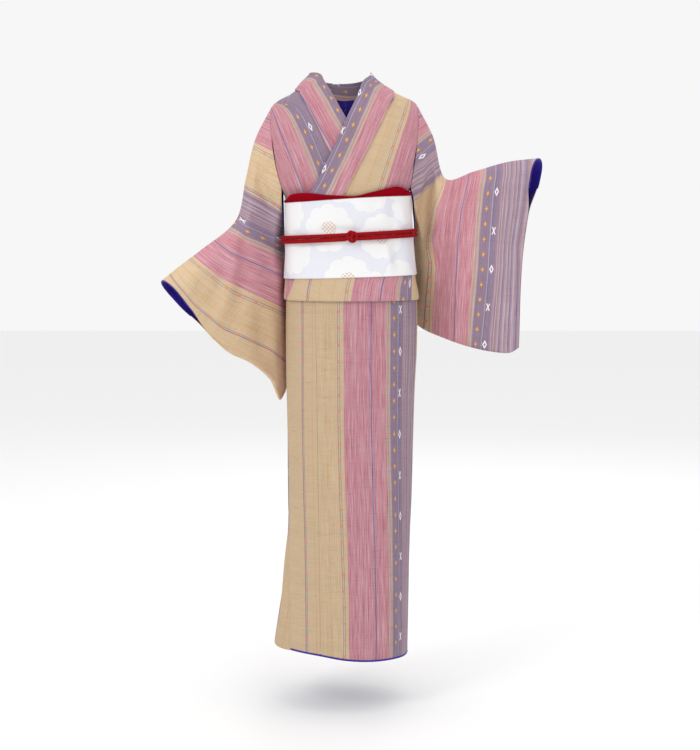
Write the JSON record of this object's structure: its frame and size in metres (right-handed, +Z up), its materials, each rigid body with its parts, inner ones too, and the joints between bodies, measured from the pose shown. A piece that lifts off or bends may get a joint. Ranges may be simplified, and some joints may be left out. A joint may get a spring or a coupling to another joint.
{
  "type": "worn kimono with its belt",
  "caption": "Lined wrap-front kimono in its worn shape, with wide bag sleeves, waist fold, wide belt with drum knot, scarf edge and tied cord; hollow, no wearer.",
  "frame": {"origin": "between the shoulders, in the middle of the neck, where the wearer's shoulders hold the garment", "axes": "+X to the viewer's right (the wearer's left), +Y to the back, +Z up"},
  "size_m": [0.8253, 0.3243, 1.2931],
  "materials": {
    "kimono_cloth": "matte woven silk pongee in wide pink, beige and purple warp stripes with small ikat marks",
    "lining": "plain indigo violet silk lining, soft sheen",
    "belt_cloth": "stiff white belt cloth with pale round flowers, satin sheen",
    "scarf_cloth": "crimson silk crepe",
    "cord_silk": "tight round red silk braid"
  },
  "bodies": {
    "root": {"right_front": "kimono_cloth", "left_front": "kimono_cloth", "right_back": "kimono_cloth", "left_back": "kimono_cloth", "collar": "kimono_cloth", "left_front_skirt": "kimono_cloth", "left_okumi_skirt": "kimono_cloth", "right_front_skirt": "kimono_cloth", "right_okumi_skirt": "kimono_cloth", "right_back_skirt": "kimono_cloth", "left_back_skirt": "kimono_cloth", "hem_lining": "lining", "right_sleeve": "kimono_cloth", "left_sleeve": "kimono_cloth", "right_cuff_lining": "lining", "left_cuff_lining": "lining", "belt_wrap": "belt_cloth", "scarf": "scarf_cloth", "belt_drum": "belt_cloth", "belt_flap": "belt_cloth", "belt_band": "belt_cloth", "cord": "cord_silk", "cord_tail_right": "cord_silk", "cord_tail_left": "cord_silk", "cord_knot": "cord_silk"}
  },
  "joints": []
}
